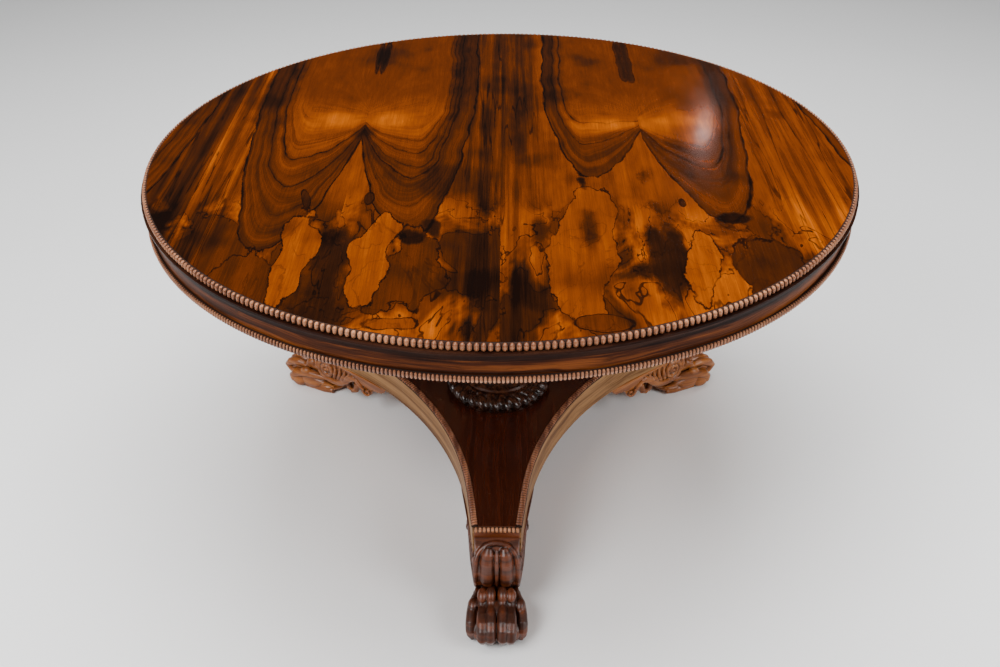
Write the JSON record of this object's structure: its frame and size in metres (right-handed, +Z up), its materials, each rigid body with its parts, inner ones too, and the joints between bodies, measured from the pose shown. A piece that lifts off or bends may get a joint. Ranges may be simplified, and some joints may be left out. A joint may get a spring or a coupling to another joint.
{
  "type": "breakfast table",
  "caption": "Round tilt-top rosewood pedestal table with beaded frieze, turned column, three-armed platform and carved paw feet.",
  "frame": {"origin": "on the floor under the centre of the column and of the round top", "axes": "+Z up; the front foot points along -Y; the hinge of the top runs along X behind the column, at +Y"},
  "size_m": [1.3198, 1.32, 0.737],
  "materials": {
    "top_rosewood": "book-matched figured rosewood veneer, French polished",
    "frieze_rosewood": "straight-grained rosewood veneer, polished",
    "bead_rosewood": "turned and cut rosewood mouldings, worn polish",
    "carved_rosewood": "carved rosewood, polished, darker in the hollows",
    "deck_rosewood": "dark rosewood veneer, French polished",
    "faded_rosewood": "sun-faded rosewood facing, dry polish",
    "mahogany_ground": "planed mahogany, unpolished",
    "pine_ground": "planed pine, aged and unpolished",
    "beech": "riven beech pegs and wedges, unpolished",
    "brass": "cast brass, aged",
    "iron": "hand-filed iron screws, oxidised"
  },
  "bodies": {
    "base": {"platform_core": "mahogany_ground", "deck_veneer": "deck_rosewood", "side_facings": "faded_rosewood", "edge_beads": "bead_rosewood", "end_beads": "bead_rosewood", "scroll_front": "carved_rosewood", "scroll_right": "carved_rosewood", "scroll_left": "carved_rosewood", "paw_front": "carved_rosewood", "paw_right": "carved_rosewood", "paw_left": "carved_rosewood", "paw_dowels": "beech", "foot_screws": "iron", "column": "deck_rosewood", "gadroon_collar": "carved_rosewood", "tenon_wedges": "beech", "tilt_block": "mahogany_ground", "hinge_pins": "beech", "keep_plates": "brass", "keep_screws": "brass"},
    "top": {"top_ground": "pine_ground", "veneer_leaves": "top_rosewood", "top_bead_ring": "bead_rosewood", "cove_moulding": "frieze_rosewood", "frieze_ring": "pine_ground", "frieze_veneer": "frieze_rosewood", "lower_bead_ring": "bead_rosewood", "glue_blocks": "pine_ground", "bearer_right": "mahogany_ground", "bearer_left": "mahogany_ground", "bearer_screws": "iron", "catch_cases": "brass", "catch_screws": "brass"},
    "bolt_right": {"catch_bolt_right": "brass"},
    "bolt_left": {"catch_bolt_left": "brass"}
  },
  "joints": [
    {"name": "top_tilt", "type": "hinge", "parent": "base", "child": "top", "pos_m": [0, 0.158, 0.69], "axis": [-1, 0, 0], "range_deg": [0, 88]},
    {"name": "catch_slide_right", "type": "slide", "parent": "top", "child": "bolt_right", "axis": [0, 1, 0], "range_m": [0, 0.01]},
    {"name": "catch_slide_left", "type": "slide", "parent": "top", "child": "bolt_left", "axis": [0, 1, 0], "range_m": [0, 0.01]}
  ]
}
